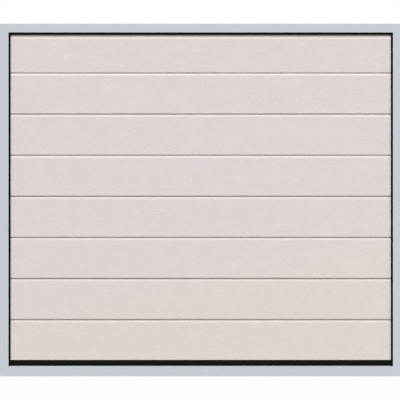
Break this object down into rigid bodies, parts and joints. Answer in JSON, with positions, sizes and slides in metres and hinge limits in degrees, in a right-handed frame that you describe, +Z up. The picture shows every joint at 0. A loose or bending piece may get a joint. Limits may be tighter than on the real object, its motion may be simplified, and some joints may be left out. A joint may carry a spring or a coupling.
{
  "type": "sectional garage door",
  "caption": "Closed sectional overhead garage door of ribbed foam-filled steel sections in a galvanised frame, with tracks, rollers and spring shaft.",
  "frame": {"origin": "middle of the header's front face, in the plane that lies against the wall", "axes": "+X to the right seen from outside, +Y into the garage, +Z up"},
  "size_m": [2.68, 2.652, 2.262],
  "materials": {
    "galvanised_frame": "galvanised sheet steel, satin",
    "coated_panel": "stucco-embossed coil-coated steel, matt off-white",
    "galvanised_hardware": "zinc-plated steel, satin",
    "black_rubber": "matt rubber",
    "white_nylon": "moulded nylon on a steel stem",
    "aluminium_rail": "mill-finish aluminium",
    "spring_steel": "dark oil-tempered spring steel",
    "cast_aluminium": "die-cast aluminium",
    "steel_cable": "galvanised wire rope"
  },
  "bodies": {
    "frame": {"jamb_left": "galvanised_frame", "jamb_right": "galvanised_frame", "header": "galvanised_frame", "sill": "galvanised_frame", "side_seals": "black_rubber", "top_seal": "black_rubber", "vertical_track_left": "galvanised_hardware", "vertical_track_right": "galvanised_hardware", "curved_track_left": "galvanised_hardware", "curved_track_right": "galvanised_hardware", "lower_track_left": "galvanised_hardware", "lower_track_right": "galvanised_hardware", "upper_track_left": "galvanised_hardware", "upper_track_right": "galvanised_hardware", "track_brackets": "galvanised_hardware", "corner_plates": "galvanised_hardware", "cross_rail": "galvanised_hardware", "hanger_brackets": "galvanised_hardware", "bearing_plates": "galvanised_hardware", "torsion_shaft": "galvanised_hardware", "torsion_springs": "spring_steel", "winding_cones": "cast_aluminium", "spring_bracket": "cast_aluminium", "cable_drums": "cast_aluminium", "vertical_cables": "steel_cable", "level_cables": "steel_cable"},
    "head_pulleys": {"head_pulleys": "galvanised_hardware"},
    "top_section": {"section_4": "coated_panel", "end_caps_4": "galvanised_hardware", "upper_hinge_leaves": "galvanised_hardware", "top_brackets": "galvanised_hardware", "top_rollers": "white_nylon"},
    "lower_leaf": {"section_1": "coated_panel", "section_2": "coated_panel", "section_3": "coated_panel", "end_caps_1": "galvanised_hardware", "end_caps_2": "galvanised_hardware", "end_caps_3": "galvanised_hardware", "bottom_rail": "aluminium_rail", "bottom_seal": "black_rubber", "bottom_brackets": "galvanised_hardware", "hinges_1_2": "galvanised_hardware", "hinges_2_3": "galvanised_hardware", "lower_hinge_leaves": "galvanised_hardware", "rollers": "white_nylon"}
  },
  "joints": [
    {"name": "head_pulley_turn", "type": "hinge", "parent": "frame", "child": "head_pulleys", "pos_m": [0, 0.068, -0.006], "axis": [1, 0, 0], "range_deg": [0, 52]},
    {"name": "top_section_lean", "type": "hinge", "parent": "head_pulleys", "child": "top_section", "pos_m": [0, 0.092, -0.2792], "axis": [1, 0, 0], "range_deg": [-104, 0]},
    {"name": "section_hinge", "type": "hinge", "parent": "top_section", "child": "lower_leaf", "pos_m": [0, 0.068, -0.5524], "axis": [1, 0, 0], "range_deg": [0, 52], "deforming": ["vertical_cables"]}
  ],
  "couplings": [
    {"joint": "head_pulley_turn", "follows": "section_hinge", "ratio": 1},
    {"joint": "top_section_lean", "follows": "section_hinge", "ratio": -2}
  ]
}
